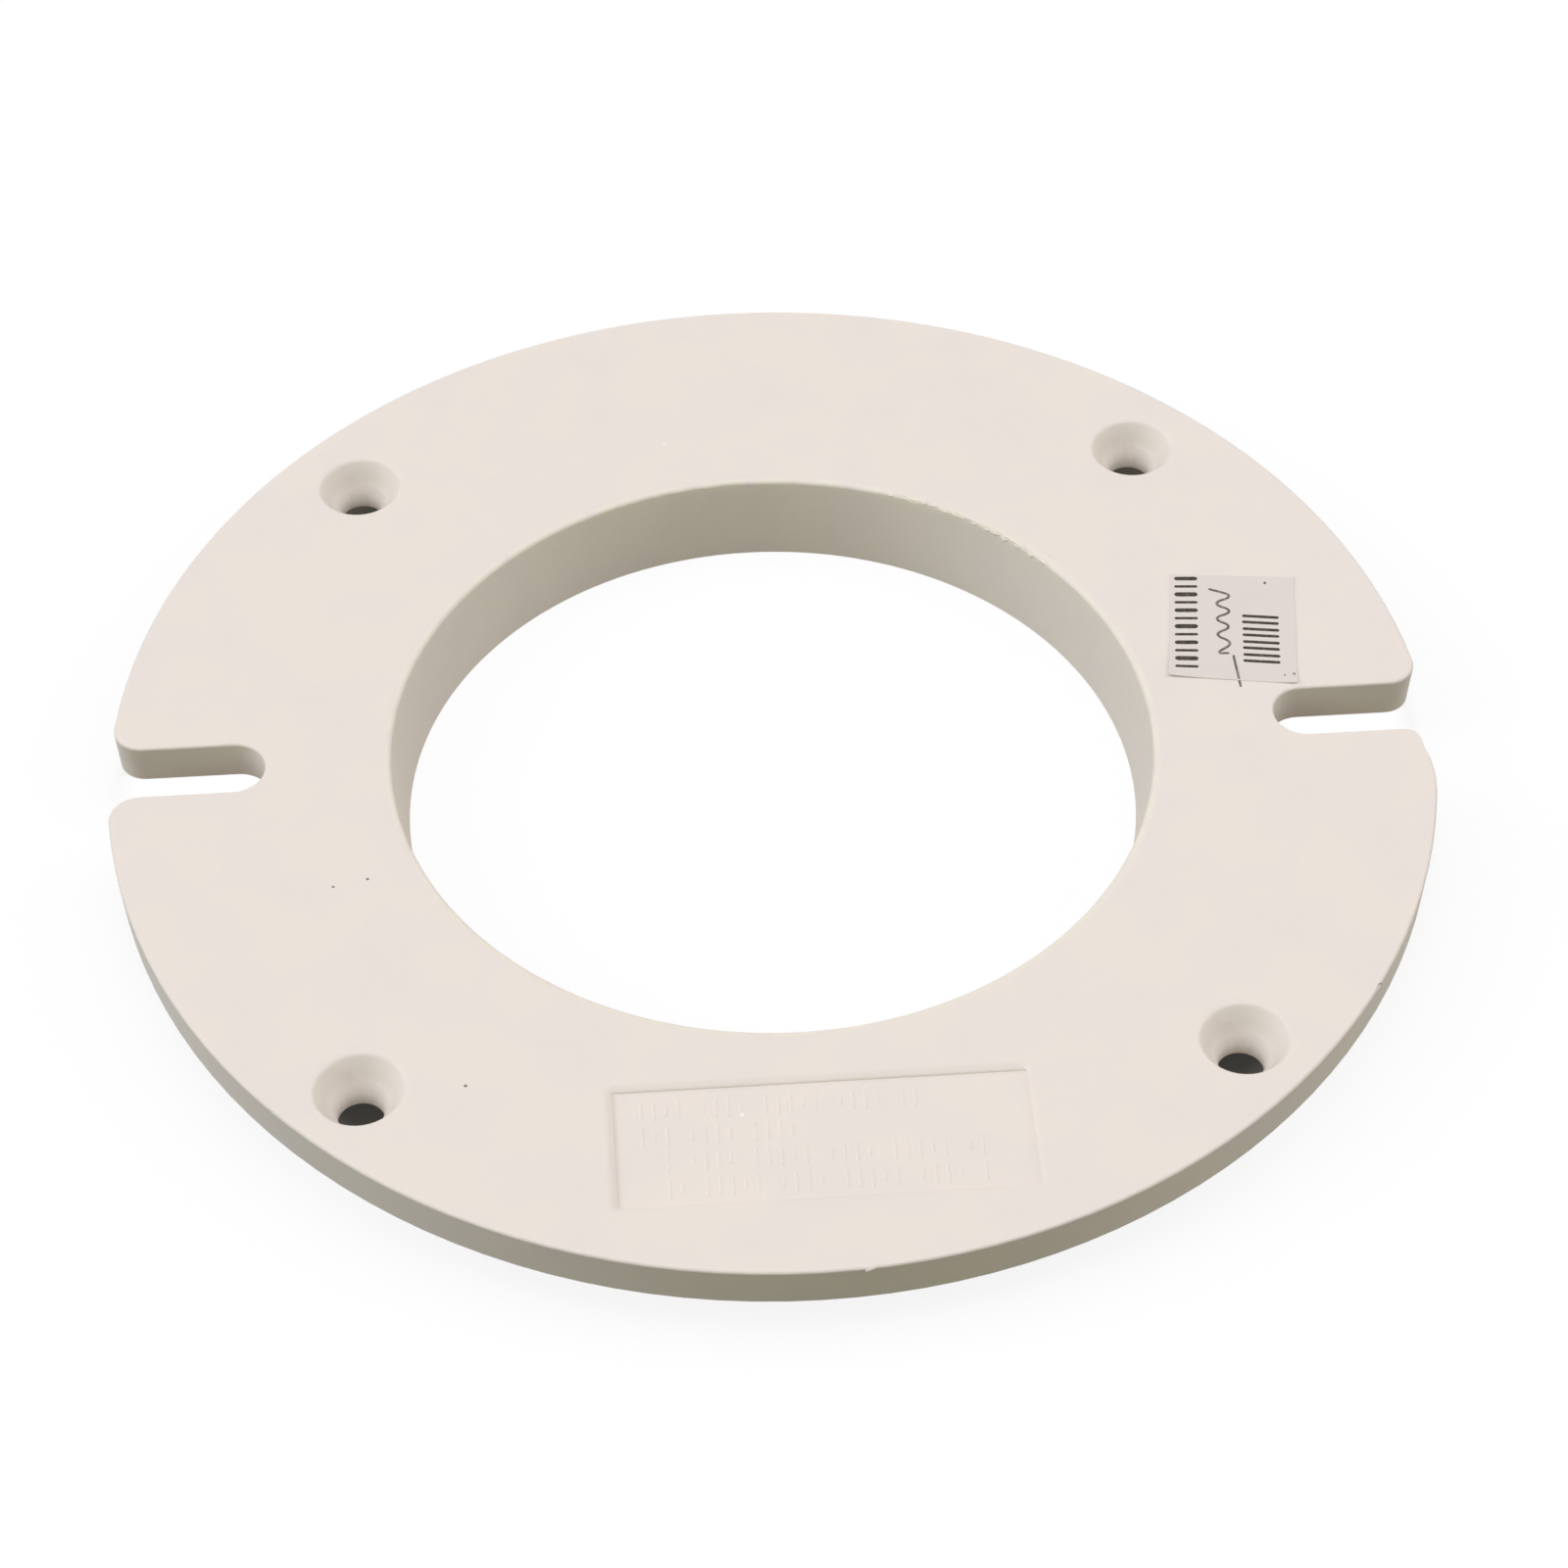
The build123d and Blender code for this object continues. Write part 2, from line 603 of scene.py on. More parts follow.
def softened(path: Sequence[Point], rounds: int = 2, share: float = 0.25) -> tuple[Point, ...]:
    """Round a line's corners by cutting them off again and again.

    Args:
        path: The line.
        rounds: How many times the corners are cut.
        share: How much of each side a cut takes.

    Returns:
        The softer line, with the same ends.
    """
    for _ in range(rounds):
        cut = [path[0]]
        for (ax, ay), (bx, by) in zip(path, path[1:]):
            cut += [((1 - s) * ax + s * bx, (1 - s) * ay + s * by) for s in (share, 1 - share)]
        path = [*cut, path[-1]]
    return tuple(path)


@dataclass(frozen=True)
class RimNick:
    """A small cut in the rim's upper edge, deep at one end and fading out at the other."""

    deep_end: float
    fade_end: float
    depth: float
    low: float
    slant: float = 0.3
    deep_share: float = 0.2
    fade_share: float = 0.1
    skin: float = 0.1
    graze: float = 0.02
    over: float = 0.5
    clear: float = 2.0

    def add_to(self, work: BMesh) -> None:
        """Add the form that cuts the nick.

        Args:
            work: The mesh of all cutting forms.
        """
        slanted = self.deep_end + self.slant * (self.deep_end - self.fade_end)
        shallow = -self.fade_share * self.low
        plan = (
            (-self.depth, self.deep_end, self.over),
            (-self.depth, self.deep_end, -self.deep_share * self.low),
            (self.skin, slanted, -self.low),
            (self.clear, slanted, -self.low),
            (self.clear, slanted, self.over),
            (self.graze, self.fade_end, self.over),
            (self.skin, self.fade_end, shallow),
            (self.clear, self.fade_end, shallow),
            (self.clear, self.fade_end, self.over),
        )
        add_hull(work, [(*on_circle(RIM_RADIUS + out, angle), TOP + rise) for out, angle, rise in plan])


@dataclass(frozen=True)
class WornCorner:
    """The mouth of the right slot where its near corner is knocked back."""

    path: tuple[Point, ...] = (
        (85.9, -4.45), (86.45, -4.95), (86.8, -5.5), (87.05, -6.2), (87.15, -7.2),
        (87.3, -8.4), (87.55, -9.4), (87.68, -10.4), (87.74, -11.4), (87.78, -12.4),
        (87.72, -13.6), (87.55, -15.0), (87.5, -16.5),
    )
    edge: tuple[Point, ...] = ((0.5, 0.6), (0.0, 0.3), (-0.12, 0.1), (-0.4, 0.0))
    lean: float = 0.052
    skew: float = 0.3
    clear: float = 4.0
    below: float = 1.0

    def add_to(self, work: BMesh) -> None:
        """Add the form that cuts the corner, level by level from above the ring to below it.

        Args:
            work: The mesh of all cutting forms.
        """
        levels = [(TOP + rise, inward) for rise, inward in self.edge]
        levels.append((CAD_BOX[0].z / MM - self.below, -self.lean * TOP))
        (start_x, start_y), (end_x, end_y) = self.path[0], self.path[-1]
        sections = []
        for z, inward in levels:
            wall = [(x - inward, y - self.skew * inward, z) for x, y in self.path]
            past_end = (end_x + self.clear, end_y, z)
            past_start = (start_x + 2 * self.clear, start_y + self.clear / 2, z)
            sections.append([*wall, past_end, past_start])
        add_tube(work, sections)


@dataclass(frozen=True)
class Mouth:
    """The outline of an opening in the top face: a circle, or a rectangle with round corners."""

    middle: Point
    length: float
    width: float
    corner: float
    corner_steps: int

    def outline(self, outward: float, z: float) -> list[Place]:
        """The outline at one level.

        Args:
            outward: How far it lies outside the opening's own.
            z: Its height.

        Returns:
            The outline's points.
        """
        radius = self.corner + outward
        across, along = self.length / 2 - self.corner, self.width / 2 - self.corner
        steps = self.corner_steps + (across > 0)
        points = []
        for turn, (sx, sy) in enumerate(((1, 1), (-1, 1), (-1, -1), (1, -1))):
            for step in range(steps):
                x, y = on_circle(radius, 90 * (turn + step / self.corner_steps))
                points.append((self.middle[0] + sx * across + x, self.middle[1] + sy * along + y, z))
        return points


def round_mouth(middle: Point, radius: float, steps: int) -> Mouth:
    """A circle's outline, with this many steps in a quarter."""
    return Mouth(middle, 2 * radius, 2 * radius, radius, steps)


@dataclass(frozen=True)
class Bend:
    """A stretch of an edge's curve with one radius, up to a slope in degrees."""

    radius: float
    turn: float
    steps: int


@dataclass(frozen=True)
class SoftEdge:
    """The curve with which the top face turns down into an opening."""

    mouth: Mouth
    start: float
    bends: tuple[Bend, ...]
    run: float
    settle: float = 0.0
    over: float = 0.05
    over_reach: float = 0.4
    ragged: Point = (0.0, 0.0)
    ragged_depth: float = 1.0
    bite: float = 0.1
    bite_inward: float = 0.4
    seed: int = 5

    def profile(self) -> list[Point]:
        """The curve, from outside the opening to a point inside it.

        Returns:
            How far each point lies outside the mouth and how high above the top face.
        """
        points = [(self.start, 0.0)]
        slope = 0.0
        for bend in self.bends:
            outward, rise = points[-1]
            for step in range(1, bend.steps + 1):
                turned = slope + (radians(bend.turn) - slope) * step / bend.steps
                across = bend.radius * (sin(turned) - sin(slope))
                down = bend.radius * (cos(slope) - cos(turned))
                points.append((outward - across, rise - down))
            slope = radians(bend.turn)
        outward, rise = points[-1]
        ends = (self.settle, self.run) if self.settle else (self.run,)
        return points + [(outward - end * cos(slope), rise - end * sin(slope)) for end in ends]

    def rise_at(self, outward: float) -> float:
        """Height of the edge above the top face.

        Args:
            outward: Distance outside the mouth.

        Returns:
            The height there, 0 or below.
        """
        points = self.profile()
        for (far, high), (near, low) in zip(points, points[1:]):
            if outward > near:
                return high + (low - high) * max(far - outward, 0.0) / (far - near)
        return points[-1][1]

    def add_to(self, work: BMesh) -> None:
        """Add the form that cuts the edge.

        Args:
            work: The mesh of all cutting forms.
        """
        levels = [(self.start + self.over_reach, self.over), *self.profile()[1:]]
        sections = []
        for outward, rise in levels:
            outline = self.mouth.outline(outward, TOP + rise)
            sections.append([self.bitten(point, turn) for turn, point in enumerate(outline)])
        add_tube(work, sections)

    def bitten(self, point: Place, turn: int) -> Place:
        """Move a point of the upper edge in or out where the edge is ragged.

        Args:
            point: The point.
            turn: Its number in the outline.

        Returns:
            The moved point, or the same one elsewhere.
        """
        x, y, z = point
        near_top = TOP - self.ragged_depth < z < TOP
        if not (near_top and self.ragged[0] < degrees(atan2(y, x)) < self.ragged[1]):
            return point
        jump = Random(self.seed + turn).uniform(-self.bite_inward, 1.0) * self.bite
        share = 1 + jump / hypot(x, y)
        return x * share, y * share, z


THROAT_EDGE = SoftEdge(
    mouth=round_mouth((0.0, 0.0), THROAT_RADIUS, 96),
    start=1.6,
    bends=(Bend(6.0, 9.0, 4), Bend(0.6, 81.9, 9)),
    run=12.24,
    settle=0.7,
    ragged=(38.0, 112.0),
)
PANEL_EDGE = SoftEdge(
    mouth=Mouth((1.75, -68.35), length=51.8, width=18.2, corner=0.4, corner_steps=6),
    start=0.91,
    bends=(Bend(2.2, 22.0, 5), Bend(0.42, 72.0, 5)),
    run=0.06,
)
SCREW_MOUTH_RADIUS = 5.65
SCREW_MOUTH_SHIFT = 0.3
SCREW_EDGES = tuple(
    SoftEdge(
        mouth=round_mouth((x + SCREW_MOUTH_SHIFT, y + SCREW_MOUTH_SHIFT), SCREW_MOUTH_RADIUS, 14),
        start=0.75,
        bends=(Bend(2.5, 12.0, 3), Bend(0.7, 54.0, 6)),
        run=3.4,
    )
    for x, y in SCREW_HOLES
)


@dataclass(frozen=True)
class RimFlake:
    """The sliver of plastic that stands off the rim's upper edge beside its nick."""

    tip: Place = (4.95, -89.0, -0.22)
    root: tuple[Place, ...] = (
        (5.2, -88.8, -0.12), (5.25, -89.0, -0.36), (5.7, -88.62, 0.0), (5.75, -88.9, -0.3),
        (6.4, -88.2, 0.05), (6.55, -88.45, 0.02), (6.4, -88.64, -0.26),
    )

    def build(self, plastic: Material) -> Object:
        """Build the flake.

        Args:
            plastic: The ring's material.

        Returns:
            The flake.
        """
        work = bmesh.new()
        add_hull(work, [(x, y, TOP + rise) for x, y, rise in (self.tip, *self.root)])
        return dress(to_metres(work, "rim_flake"), plastic, crease=60.0)


@dataclass(frozen=True)
class LipScuffs:
    """Hair-fine ridges where the throat's lip has been scuffed."""

    scratches: tuple[Stroke, ...] = (
        Stroke(softened(((39.7, 35.1), (40.4, 33.7), (41.7, 32.4), (43.2, 31.2))), 0.18),
        Stroke(softened(((40.5, 32.2), (41.1, 30.7), (41.9, 28.9))), 0.15),
    )
    scratch_rise: float = 0.08
    burrs: int = 70
    burr_angles: tuple[float, float, float] = (38.0, 70.0, 52.0)
    burr_length: Point = (0.4, 1.5)
    burr_reach: Point = (-0.12, 0.2)
    burr_width: Point = (0.16, 0.4)
    burr_rise: float = 0.04
    lip_radius: float = 51.25
    lip_width: float = 0.5
    crowding: float = 1.4
    lip: SoftEdge = THROAT_EDGE
    seed: int = 11

    def burr_strokes(self) -> list[Stroke]:
        """Short burrs along the lip, most of them where it is scuffed hardest.

        Returns:
            Their lines.
        """
        chance = Random(self.seed)
        made = []
        for _ in range(self.burrs):
            angle = chance.triangular(*self.burr_angles)
            radius = self.lip_radius + self.lip_width * chance.uniform(0.0, 1.0) ** self.crowding
            length = chance.uniform(*self.burr_length)
            reach = chance.uniform(*self.burr_reach)
            turn = degrees(length / radius) / 2
            path = (
                on_circle(radius, angle - turn),
                on_circle(radius + reach, angle),
                on_circle(radius + reach / 2, angle + turn),
            )
            made.append(Stroke(softened(path, 1), chance.uniform(*self.burr_width)))
        return made

    def lip_face(self, x: float, y: float) -> float:
        """Height of the top face, or of the rounded lip where it turns down."""
        return TOP + self.lip.rise_at(hypot(x, y) - THROAT_RADIUS)

    def build(self, plastic: Material) -> Object:
        """Build the ridges.

        Args:
            plastic: The ring's material.

        Returns:
            The ridges as one piece.
        """
        work = bmesh.new()
        for stroke in self.scratches:
            stroke.add_to(work, self.lip_face, sink=0.03, rise=self.scratch_rise, bevel=0.06)
        for stroke in self.burr_strokes():
            stroke.add_to(work, self.lip_face, sink=0.2, rise=self.burr_rise, bevel=0.04, level=True)
        return dress(to_metres(work, "lip_scuffs"), plastic)


@dataclass(frozen=True)
class FlangeRing:
    """The moulded ring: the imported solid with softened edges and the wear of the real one."""

    node: str = "flange_ring"
    weld: float = 0.001
    crease: float = 30.0
    flat_weight: int = 100
    nicks: tuple[RimNick, ...] = (
        RimNick(-33.5, -35.3, 0.32, 1.1),
        RimNick(-87.1, -86.3, 0.3, 0.35),
        RimNick(-138.0, -136.2, 0.22, 0.6),
    )
    nick_clear: float = 4.0
    slots_clear: tuple[Point, ...] = ((0.0, 14.0), (180.0, 10.0), (-180.0, 10.0))
    small_nicks: int = 26
    small_angles: Point = (-175.0, 175.0)
    small_half: Point = (0.35, 1.2)
    small_depth: Point = (0.05, 0.14)
    small_low: Point = (0.25, 0.7)
    small_clear: float = 3.2
    seed: int = 7
    soft_edges: tuple[SoftEdge, ...] = (PANEL_EDGE, THROAT_EDGE, *SCREW_EDGES)

    def build(self, plastic: Material) -> Object:
        """Copy the solid, wear the copy and dress it.

        Args:
            plastic: The ring's material.

        Returns:
            The ring as it shows.
        """
        whole = add_object("whole_ring", self.welded_copy())
        cutters = add_object("wear_cutters", self.cutters())
        cut = whole.modifiers.new("wear", "BOOLEAN")
        cut.operation = "DIFFERENCE"
        cut.solver = "EXACT"
        cut.object = cutters
        bpy.context.view_layer.update()
        mesh = bpy.data.meshes.new_from_object(whole.evaluated_get(bpy.context.evaluated_depsgraph_get()))
        for helper in (whole, cutters):
            bpy.data.objects.remove(helper)
        mesh.name = "moulded_ring"
        ring = dress(mesh, plastic, self.crease)
        weighted = ring.modifiers.new("flat_faces_lead", "WEIGHTED_NORMAL")
        weighted.keep_sharp = True
        weighted.weight = self.flat_weight
        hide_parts(self.node)
        return ring

    def welded_copy(self) -> Mesh:
        """Copy the solid's mesh with its split edges joined.

        Returns:
            The new mesh.
        """
        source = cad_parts[self.node].data
        work = bmesh.new()
        for vertex in source.vertices:
            work.verts.new(vertex.co)
        work.verts.ensure_lookup_table()
        for face in source.polygons:
            work.faces.new([work.verts[i] for i in face.vertices])
        bmesh.ops.remove_doubles(work, verts=work.verts, dist=self.weld * MM)
        mesh = bpy.data.meshes.new("whole_ring")
        work.to_mesh(mesh)
        work.free()
        return mesh

    def cutters(self) -> Mesh:
        """Build every form that cuts wear or a soft edge into the ring.

        Returns:
            One mesh of closed forms that don't touch each other.
        """
        work = bmesh.new()
        for cut in (*self.nicks, *self.edge_wear(), *self.soft_edges, WornCorner()):
            cut.add_to(work)
        return to_metres(work, "wear_cutters")

    def edge_wear(self) -> list[RimNick]:
        """Tiny nicks round the rim, clear of the slots and of the larger nicks.

        Returns:
            The nicks.
        """
        chance = Random(self.seed)
        taken = list(self.slots_clear)
        taken += [((nick.deep_end + nick.fade_end) / 2, self.nick_clear) for nick in self.nicks]
        made: list[RimNick] = []
        while len(made) < self.small_nicks:
            middle = chance.uniform(*self.small_angles)
            half = chance.uniform(*self.small_half) * chance.choice((-1, 1))
            depth, low = chance.uniform(*self.small_depth), chance.uniform(*self.small_low)
            if all(abs(middle - place) > reach for place, reach in taken):
                made.append(RimNick(middle + half, middle - half, depth, low))
                taken.append((middle, self.small_clear))
        return made


@dataclass(frozen=True)
class PanelRelief:
    """Plain raised bars in four rows on the floor of the recessed panel."""

    rows: tuple[Place, ...] = (
        (-20.6, 14.4, -62.5),
        (-20.6, -1.6, -66.6),
        (-17.6, 21.8, -70.6),
        (-17.6, 22.4, -74.7),
    )
    pitch: float = 1.55
    width: float = 0.6
    reaches: tuple[float, ...] = (1.5, 1.5, 0.8, 1.5, 0.0, 0.8, 1.5, 1.5, 0.8, 0.0, 1.5)
    rise: float = 0.075

    def panel_floor(self, x: float, y: float) -> float:
        """Height of the panel's floor, the same at every point."""
        return TOP - PANEL_DEPTH

    def build(self, plastic: Material) -> Object:
        """Build the bars, each row from its start to its end.

        Args:
            plastic: The ring's material.

        Returns:
            The bars as one piece.
        """
        work = bmesh.new()
        turn = 0
        for start, end, y in self.rows:
            for step in range(int((end - start) / self.pitch) + 1):
                reach = self.reaches[turn % len(self.reaches)]
                turn += 1
                if reach:
                    x = start + step * self.pitch
                    bar = Stroke(((x, y - reach), (x, y + reach)), self.width)
                    bar.add_to(work, self.panel_floor, sink=0.05, rise=self.rise, bevel=0.18)
        return dress(to_metres(work, "panel_relief"), plastic)


@dataclass(frozen=True)
class Lift:
    """A place where the label has come away from the plastic."""

    x: float
    y: float
    radius: float
    height: float

    def at(self, x: float, y: float) -> float:
        """How far the paper stands off at a point."""
        near = max(1 - hypot(x - self.x, y - self.y) / self.radius, 0.0)
        return self.height * near * near


@dataclass(frozen=True)
class BarRow:
    """Equal bars side by side, single or double."""

    first: Point
    step: Point
    count: int
    reach: Point
    widths: tuple[float, ...]
    apart: float = 0.0

    def strokes(self) -> list[Stroke]:
        """Lay out the bars.

        Returns:
            Their lines.
        """
        length = hypot(*self.reach)
        side = (-self.reach[1] / length, self.reach[0] / length)
        shifts = (-self.apart / 2, self.apart / 2) if self.apart else (0.0,)
        made = []
        for turn in range(self.count):
            for shift in shifts:
                x = self.first[0] + turn * self.step[0] + shift * side[0]
                y = self.first[1] + turn * self.step[1] + shift * side[1]
                ends = ((x - self.reach[0], y - self.reach[1]), (x + self.reach[0], y + self.reach[1]))
                made.append(Stroke(ends, self.widths[turn % len(self.widths)]))
        return made


@dataclass(frozen=True)
class PaperLabel:
    """The paper sticker right of the throat, with plain bars and a pen line in place of writing."""

    lower_left: Point = (54.7, 7.75)
    lower_right: Point = (72.0, 5.0)
    upper_right: Point = (74.7, 25.75)
    upper_left: Point = (57.6, 27.65)
    thickness: float = 0.09
    cells: int = 26
    lifts: tuple[Lift, ...] = (
        Lift(54.7, 7.75, 8.0, 0.32),
        Lift(72.0, 5.0, 4.5, 0.2),
        Lift(74.7, 25.75, 3.0, 0.1),
        Lift(73.4, 15.0, 3.5, 0.06),
        Lift(62.0, 6.5, 3.0, 0.05),
    )
    glue: float = 0.01
    ink_rise: float = 0.03
    bars: BarRow = BarRow((57.43, 9.3), (0.2036, 1.5718), 12, (1.6, -0.12), (0.5, 0.85, 0.5, 0.75))
    pairs: BarRow = BarRow((67.89, 10.13), (0.31, 2.51), 4, (2.5, -0.38), (0.54,), 1.2)
    scribble: tuple[Point, ...] = (
        (62.5, 24.3), (66.1, 22.6), (62.4, 21.4), (65.6, 19.6), (62.1, 18.4),
        (65.0, 16.6), (61.8, 15.3), (64.7, 13.4), (61.6, 11.6), (63.6, 11.5),
    )
    scribble_width: float = 0.42
    tail: tuple[Point, ...] = ((64.1, 11.1), (64.15, 8.0), (64.25, 5.0))
    tail_width: float = 0.378
    specks: tuple[Spot, ...] = (Spot(70.55, 24.9, 0.26), Spot(71.8, 6.8, 0.24), Spot(70.5, 6.7, 0.16))
    speck_share: float = 1.6

    def stand_off(self, x: float, y: float) -> float:
        """Height of the paper's underside above the plastic at a point."""
        return self.glue + sum(lift.at(x, y) for lift in self.lifts)

    def holds(self, x: float, y: float) -> bool:
        """Whether a point lies on the paper.

        Args:
            x: X in millimetres.
            y: Y in millimetres.

        Returns:
            True on the paper.
        """
        corners = (self.lower_left, self.lower_right, self.upper_right, self.upper_left)
        return all(
            (bx - ax) * (y - ay) - (by - ay) * (x - ax) >= 0
            for (ax, ay), (bx, by) in zip(corners, corners[1:] + corners[:1])
        )

    def face(self, x: float, y: float) -> float:
        """Height of the paper, or of the plastic beside it."""
        return TOP + (self.stand_off(x, y) + self.thickness if self.holds(x, y) else 0.0)

    def build(self) -> list[Object]:
        """Build the sticker and its marks.

        Returns:
            Its pieces.
        """
        stamp, pen = Ink.STAMP.material(), Ink.PEN.material()
        return [
            self.build_paper(),
            self.build_marks("label_bars", self.bars.strokes(), stamp),
            self.build_marks("label_line_pairs", self.pairs.strokes(), stamp),
            self.build_marks("label_pen_line", self.pen_strokes(), pen),
        ]

    def pen_strokes(self) -> list[Stroke]:
        """The pen's zigzag with its tail, and the specks beside it.

        Returns:
            Their lines.
        """
        made = [Stroke(softened(self.scribble), self.scribble_width), Stroke(self.tail, self.tail_width)]
        for speck in self.specks:
            ends = ((speck.x, speck.y - speck.radius), (speck.x, speck.y + speck.radius))
            made.append(Stroke(ends, self.speck_share * speck.radius))
        return made

    def build_paper(self) -> Object:
        """Build the sheet.

        Returns:
            The sheet.
        """
        work = bmesh.new()
        count = self.cells
        grid = []
        for row in range(count + 1):
            share = row / count
            left = Vector(self.lower_left).lerp(Vector(self.upper_left), share)
            right = Vector(self.lower_right).lerp(Vector(self.upper_right), share)
            line = [left.lerp(right, column / count) for column in range(count + 1)]
            grid.append([(p.x, p.y, TOP + self.stand_off(p.x, p.y)) for p in line])
        lower = [[work.verts.new(point) for point in line] for line in grid]
        upper = [[work.verts.new((x, y, z + self.thickness)) for x, y, z in line] for line in grid]
        for i in range(count):
            for j in range(count):
                for sheet in (lower, upper):
                    work.faces.new((sheet[i][j], sheet[i][j + 1], sheet[i + 1][j + 1], sheet[i + 1][j]))
        rim = [(0, j) for j in range(count)] + [(i, count) for i in range(count)]
        rim += [(count, j) for j in range(count, 0, -1)] + [(i, 0) for i in range(count, 0, -1)]
        for (ai, aj), (bi, bj) in zip(rim, rim[1:] + rim[:1]):
            work.faces.new((lower[ai][aj], lower[bi][bj], upper[bi][bj], upper[ai][aj]))
        return dress(to_metres(work, "paper_label"), LabelPaper().material())

    def build_marks(self, name: str, strokes: Iterable[Stroke], ink: Material) -> Object:
        """Build lines of one ink.

        Args:
            name: The piece's name.
            strokes: The lines.
            ink: Their material.

        Returns:
            The lines as one piece.
        """
        work = bmesh.new()
        for stroke in strokes:
            stroke.add_to(work, self.face, sink=0.02, rise=self.ink_rise, bevel=0.02)
        return dress(to_metres(work, name), ink)


@dataclass(frozen=True)
class PhotoCamera:
    """The camera, at the photograph's angle. Its focal length and aim are in pixels."""

    image: float = 1600.0
    focal: float = 4147.0
    distance: float = 546.47
    elevation: float = 45.932
    roll: float = -0.5682
    turn: float = -3.4968
    aim: Point = (787.93, 753.69)
    sensor: float = 36.0

    def build(self) -> None:
        """Place the camera."""
        lens = bpy.data.cameras.new("camera")
        lens.sensor_width = self.sensor
        lens.sensor_fit = "HORIZONTAL"
        lens.lens = self.focal / self.image * self.sensor
        camera = add_object("camera", lens)
        rise = radians(self.elevation)
        back = Vector((0, -cos(rise), sin(rise)))
        right = Vector((1, 0, 0))
        up = back.cross(right)
        tilt = radians(self.roll)
        right, up = cos(tilt) * right + sin(tilt) * up, cos(tilt) * up - sin(tilt) * right
        middle = self.image / 2
        ray = Vector((self.aim[0] - middle, middle - self.aim[1], -self.focal)).normalized()
        off_axis = Vector((0, 0, -1)).rotation_difference(ray).to_matrix()
        to_camera = off_axis @ Matrix((right, up, back))
        turned = Matrix.Rotation(radians(self.turn), 3, "Z")
        eye = turned @ back * self.distance * MM + Vector((0, 0, TOP * MM))
        camera.matrix_world = Matrix.Translation(eye) @ (turned @ to_camera.transposed()).to_4x4()
        bpy.context.scene.camera = camera


@dataclass(frozen=True)
class SoftLamp:
    """A wide lamp, far away."""

    name: str
    azimuth: float
    elevation: float
    width: float
    strength: float
    colour: Colour

    def build(self) -> None:
        """Hang the lamp."""
        light = bpy.data.lights.new(self.name, "SUN")
        light.angle = radians(self.width)
        light.energy = self.strength
        light.color = self.colour
        lamp = add_object(self.name, light)
        side, rise = radians(self.azimuth), radians(self.elevation)
        towards = Vector((cos(rise) * sin(side), -cos(rise) * cos(side), sin(rise)))
        lamp.rotation_euler = towards.to_track_quat("Z", "Y").to_euler()


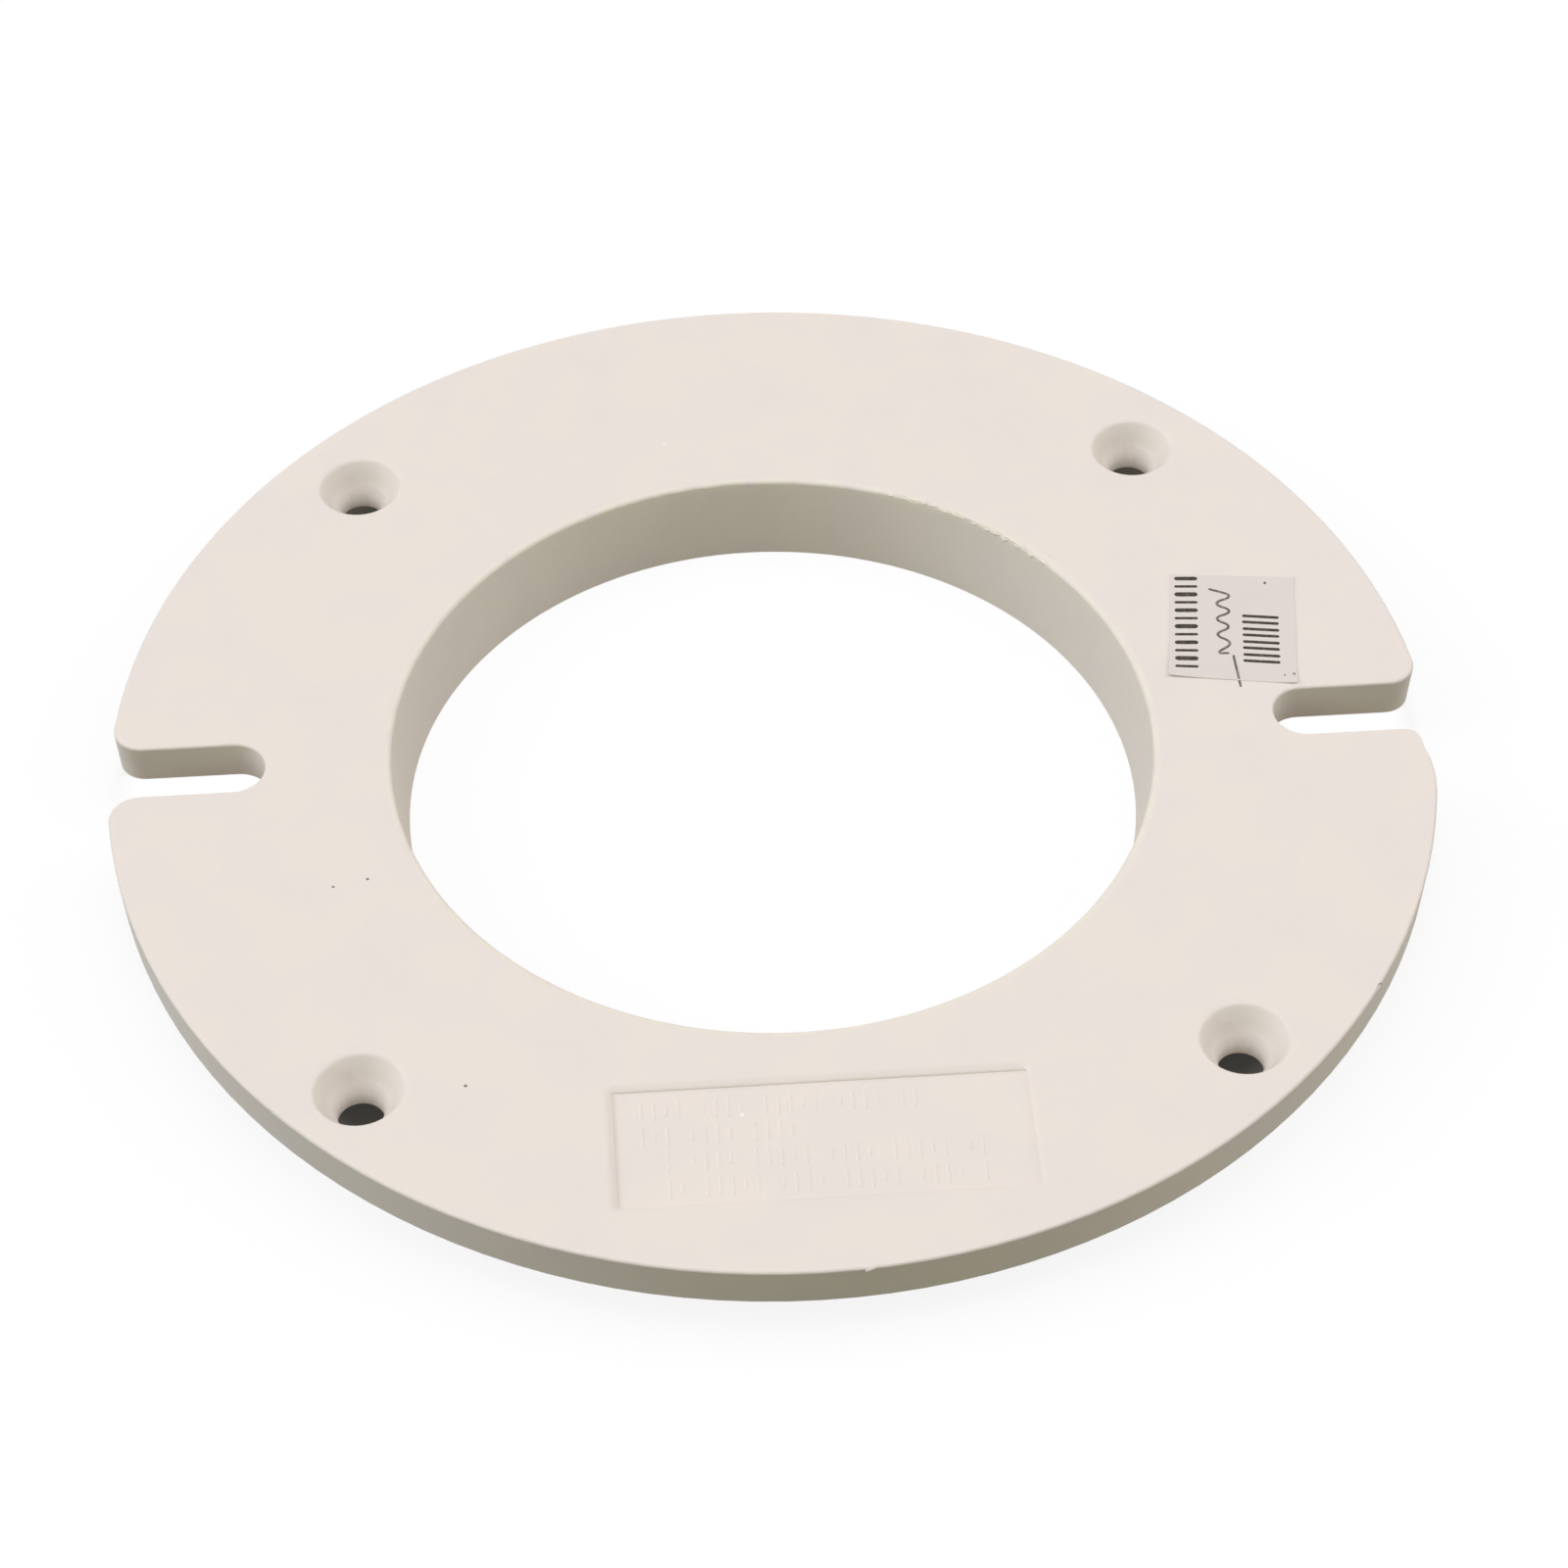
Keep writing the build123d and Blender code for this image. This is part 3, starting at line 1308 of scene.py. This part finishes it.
@dataclass(frozen=True)
class Studio:
    """A pale floor, soft lamps and plain surroundings.

    The floor shows as white with the plate's shadow. Under the plate the floor's colour is dark, a
    painted shadow which lies a little behind the plate, and where the floor is seen through the slots it
    glows white, as painted light.
    To light the object it has colours of its own. From below it doesn't show.
    """

    floor_side: float = 12.0
    floor_white: Colour = (1.12, 1.12, 1.12)
    # painted shadow: a dark floor colour, seen under the plate
    painted_floor_shade: Colour = (0.14, 0.12, 0.08)
    floor_glow: float = 0.88
    # painted light: a faint glow of the floor under the plate
    under_glow: float = 0.03
    shadow_shift: float = 7.7
    glow_fade: Point = (84.0, 91.0)
    shade_fade: Point = (82.0, 89.0)
    throat_fade: Point = (49.0, 54.0)
    slot_reach: Band = (60.0, 64.0, 86.0, 99.0)
    # painted light: where the floor is seen through the slots it glows fully white
    seen_in_slots: Strip = Strip(8.7, 1.8, 5.5)
    lit_by_slots: Strip = Strip(3.0, 5.0, 12.0)
    under_slots: Strip = Strip(0.0, 4.0, 6.0)
    left_bounce: Colour = (0.07, 0.045, 0.01)
    right_bounce: Colour = (0.12, 0.085, 0.03)
    throat_bounce: Colour = (0.15, 0.11, 0.04)
    slot_bounce: Colour = (0.55, 0.48, 0.36)
    side_fade: Point = (-70.0, 70.0)
    white: Colour = (1.0, 1.0, 1.0)
    fill: Colour = (0.35, 0.34, 0.22)
    lamps: tuple[SoftLamp, ...] = (
        SoftLamp("overhead_lamp", 180.0, 88.0, 60.0, 1.05, (0.86, 0.76, 1.0)),
        SoftLamp("left_lamp", 270.0, 30.0, 50.0, 1.49, (0.8, 0.87, 1.0)),
        SoftLamp("right_lamp", 90.0, 30.0, 50.0, 0.95, (0.84, 0.88, 1.0)),
        SoftLamp("front_lamp", 0.0, 40.0, 50.0, 0.12, (0.1, 0.62, 1.0)),
    )

    def build(self) -> None:
        """Set up floor, lamps and surroundings."""
        for lamp in self.lamps:
            lamp.build()
        self.build_floor()
        self.build_surroundings()
        bpy.context.scene.view_settings.view_transform = "Standard"

    def seen(self, shader: Shader) -> Signal:
        """Whether a ray shows the background itself.

        Args:
            shader: The graph that asks.

        Returns:
            1 for a ray from the camera or off gloss or through glass, 0 for one that lights the object.
        """
        rays = shader.node("ShaderNodeLightPath").outputs
        names = ("Is Camera Ray", "Is Glossy Ray", "Is Transmission Ray")
        camera, gloss, glass = (Signal(shader, rays[name]) for name in names)
        return (camera + gloss + glass).at_most(1.0)

    def build_floor(self) -> None:
        """Lay the floor at the height on which the collar stands."""
        mesh = bpy.data.meshes.new("floor")
        half = self.floor_side / 2
        corners = [(-half, -half, 0), (half, -half, 0), (half, half, 0), (-half, half, 0)]
        mesh.from_pydata(corners, [], [(0, 1, 2, 3)])
        mesh.materials.append(self.floor_material())
        add_object("floor", mesh)

    def floor_material(self) -> Material:
        """Build the floor's material.

        Returns:
            The material.
        """
        made = bpy.data.materials.new("pale_floor")
        shader = Shader(made)
        x, y, _ = shader.millimetres(shader.place())
        seen = self.seen(shader)
        from_plate = away(x, y, (0.0, self.shadow_shift))
        in_throat = 1 - away(x, y).rise(*self.throat_fade)
        along_slots = abs(x).band(*self.slot_reach)
        clear = from_plate.rise(*self.glow_fade).at_least(in_throat)
        # painted light: the floor glows fully white where it is seen through the slots, and faintly under
        # the rest of the plate
        glow = (self.floor_glow * clear).at_least(along_slots * self.seen_in_slots.mask(y))
        glow = glow.at_least(self.under_glow) * seen
        # painted shadow: under the plate the floor is dark, except in the throat and where light falls
        # through the slots; it lies a little behind the plate
        uncovered = from_plate.rise(*self.shade_fade).at_least(in_throat)
        uncovered = uncovered.at_least(along_slots * self.lit_by_slots.mask(y))
        shade = shader.blend(uncovered, self.painted_floor_shade, self.floor_white)
        bounce = shader.blend(x.rise(*self.side_fade), self.left_bounce, self.right_bounce)
        bounce = shader.blend(in_throat, bounce, self.throat_bounce)
        bounce = shader.blend(along_slots * self.under_slots.mask(y), bounce, self.slot_bounce)
        colour = shader.blend(seen, bounce, shade)
        diffuse = shader.node("ShaderNodeBsdfDiffuse", None, {"Color": colour})
        white = shader.node("ShaderNodeEmission", None, {"Color": rgba(self.white), "Strength": 1.0})
        from_below = shader.node("ShaderNodeNewGeometry").outputs["Backfacing"]
        nothing = shader.node("ShaderNodeBsdfTransparent")
        inputs = {0: glow, 1: diffuse.outputs[0], 2: white.outputs[0]}
        lit = shader.node("ShaderNodeMixShader", None, inputs)
        inputs = {0: from_below, 1: lit.outputs[0], 2: nothing.outputs[0]}
        one_sided = shader.node("ShaderNodeMixShader", None, inputs)
        shader.node("ShaderNodeOutputMaterial", None, {"Surface": one_sided.outputs[0]})
        return made

    def build_surroundings(self) -> None:
        """Surround the scene with a weak fill that shows as white."""
        world = bpy.data.worlds.new("surroundings")
        bpy.context.scene.world = world
        shader = Shader(world)
        colour = shader.blend(self.seen(shader), self.fill, self.white)
        background = shader.node("ShaderNodeBackground", None, {"Color": colour, "Strength": 1.0})
        shader.node("ShaderNodeOutputWorld", None, {"Surface": background.outputs[0]})


def main() -> None:
    """Build the part and its studio, and report each piece."""
    logging.basicConfig(level=logging.INFO, format="%(name)s: %(message)s")
    PhotoCamera().build()
    Studio().build()
    plastic = RingPlastic().material()
    makers = (FlangeRing(), PanelRelief(), RimFlake(), LipScuffs())
    pieces = [maker.build(plastic) for maker in makers] + PaperLabel().build()
    for piece in pieces:
        LOG.info("%s has %d faces", piece.name, len(piece.data.polygons))


if __name__ == "__main__":
    main()
